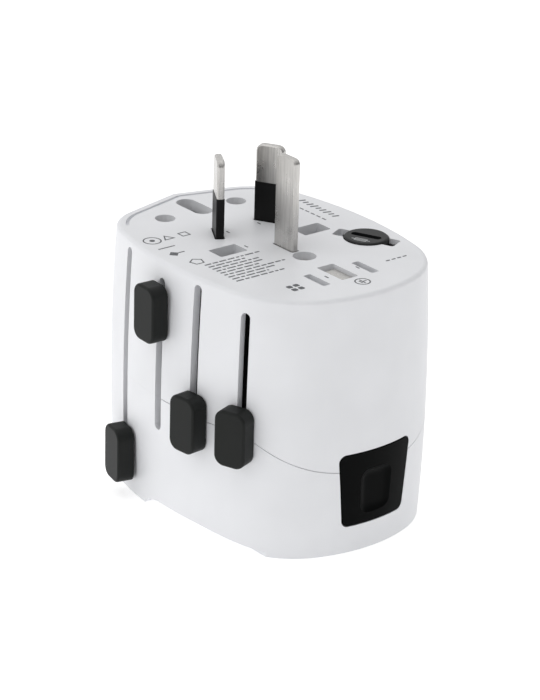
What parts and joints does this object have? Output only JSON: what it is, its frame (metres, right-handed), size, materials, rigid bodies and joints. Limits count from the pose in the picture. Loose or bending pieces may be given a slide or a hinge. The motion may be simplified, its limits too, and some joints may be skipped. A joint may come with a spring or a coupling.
{
  "type": "universal travel adapter",
  "caption": "Palm-size travel mains adapter with slider-driven folding plug sets, angled earthed blades extended, fuse cap on the pin face and release button on one end.",
  "frame": {"origin": "centre of the flat socket face that the adapter stands on", "axes": "+Z out of the pin face, +X towards the release button, -Y towards the slider knobs"},
  "size_m": [0.0717, 0.0577, 0.077],
  "materials": {
    "shell": "satin white, fine moulded texture",
    "socket_face": "satin white",
    "inner_frame": "matte black nylon",
    "carriage": "pale natural acetal",
    "knob": "matte black, fine grain",
    "button": "satin black",
    "latch": "matte black",
    "contact_brass": "rolled brass strip",
    "pin_metal": "nickel-plated brass, lightly brushed",
    "sleeve": "black insulating sleeve",
    "fuse_cap": "dark grey, satin",
    "fuse_holder": "matte black",
    "glass": "clear fuse tube",
    "ferrule": "nickel-plated",
    "steel": "bright steel"
  },
  "bodies": {
    "housing": {"upper_shell": "shell", "lower_shell": "shell", "socket_plate": "socket_face", "slider_frame": "inner_frame", "live_contact": "contact_brass", "neutral_contact": "contact_brass", "earth_contact": "contact_brass", "fuse_holder": "fuse_holder", "fuse_spring": "steel", "fuse_glass": "glass", "fuse_ferrule_upper": "ferrule", "fuse_ferrule_lower": "ferrule", "release_spring": "steel", "case_screw_1": "steel", "case_screw_2": "steel", "case_screw_3": "steel", "case_screw_4": "steel"},
    "round_slider": {"knob_round": "knob", "slide_round": "carriage"},
    "round_pin_set": {"carriage_round": "carriage", "round_pin_live": "pin_metal", "round_pin_neutral": "pin_metal", "round_pin_earth": "pin_metal"},
    "angled_blade_set": {"carriage_aus": "carriage", "knob_aus": "knob", "aus_blade_live": "pin_metal", "aus_blade_neutral": "pin_metal", "aus_blade_earth": "pin_metal", "aus_sleeve_live": "sleeve", "aus_sleeve_neutral": "sleeve"},
    "rectangular_pin_set": {"carriage_uk": "carriage", "knob_uk": "knob", "uk_rear_carrier": "carriage", "uk_link_strip": "steel", "uk_pin_live": "pin_metal", "uk_pin_neutral": "pin_metal", "uk_pin_earth": "pin_metal", "uk_sleeve_live": "sleeve", "uk_sleeve_neutral": "sleeve"},
    "flat_blade_set": {"carriage_us": "carriage", "knob_us": "knob", "us_blade_live": "pin_metal", "us_blade_neutral": "pin_metal", "us_pin_ground": "pin_metal"},
    "release": {"release_button": "button", "latch_bar": "latch"},
    "fuse_cover": {"fuse_cap": "fuse_cap"}
  },
  "joints": [
    {"name": "round_knob_slide", "type": "slide", "parent": "housing", "child": "round_slider", "axis": [0, 0, 1], "range_m": [0, 0.0402]},
    {"name": "round_pin_slide", "type": "slide", "parent": "housing", "child": "round_pin_set", "axis": [0, 0, 1], "range_m": [0, 0.0201]},
    {"name": "angled_blade_slide", "type": "slide", "parent": "housing", "child": "angled_blade_set", "axis": [0, 0, 1], "range_m": [-0.0206, 0]},
    {"name": "rectangular_pin_slide", "type": "slide", "parent": "housing", "child": "rectangular_pin_set", "axis": [0, 0, 1], "range_m": [0, 0.0234]},
    {"name": "flat_blade_slide", "type": "slide", "parent": "housing", "child": "flat_blade_set", "axis": [0, 0, 1], "range_m": [0, 0.0208]},
    {"name": "release_press", "type": "slide", "parent": "housing", "child": "release", "axis": [-1, 0, 0], "range_m": [0, 0.0025], "stiffness_N_per_m": 600, "springref_m": -0.001, "deforming": ["release_spring"]},
    {"name": "fuse_cap_turn", "type": "hinge", "parent": "housing", "child": "fuse_cover", "pos_m": [0.01, 0.01745, 0.056], "axis": [0, 0, 1], "range_deg": [-90, 0]}
  ],
  "couplings": [
    {"joint": "round_pin_slide", "follows": "round_knob_slide", "ratio": 0.5}
  ]
}
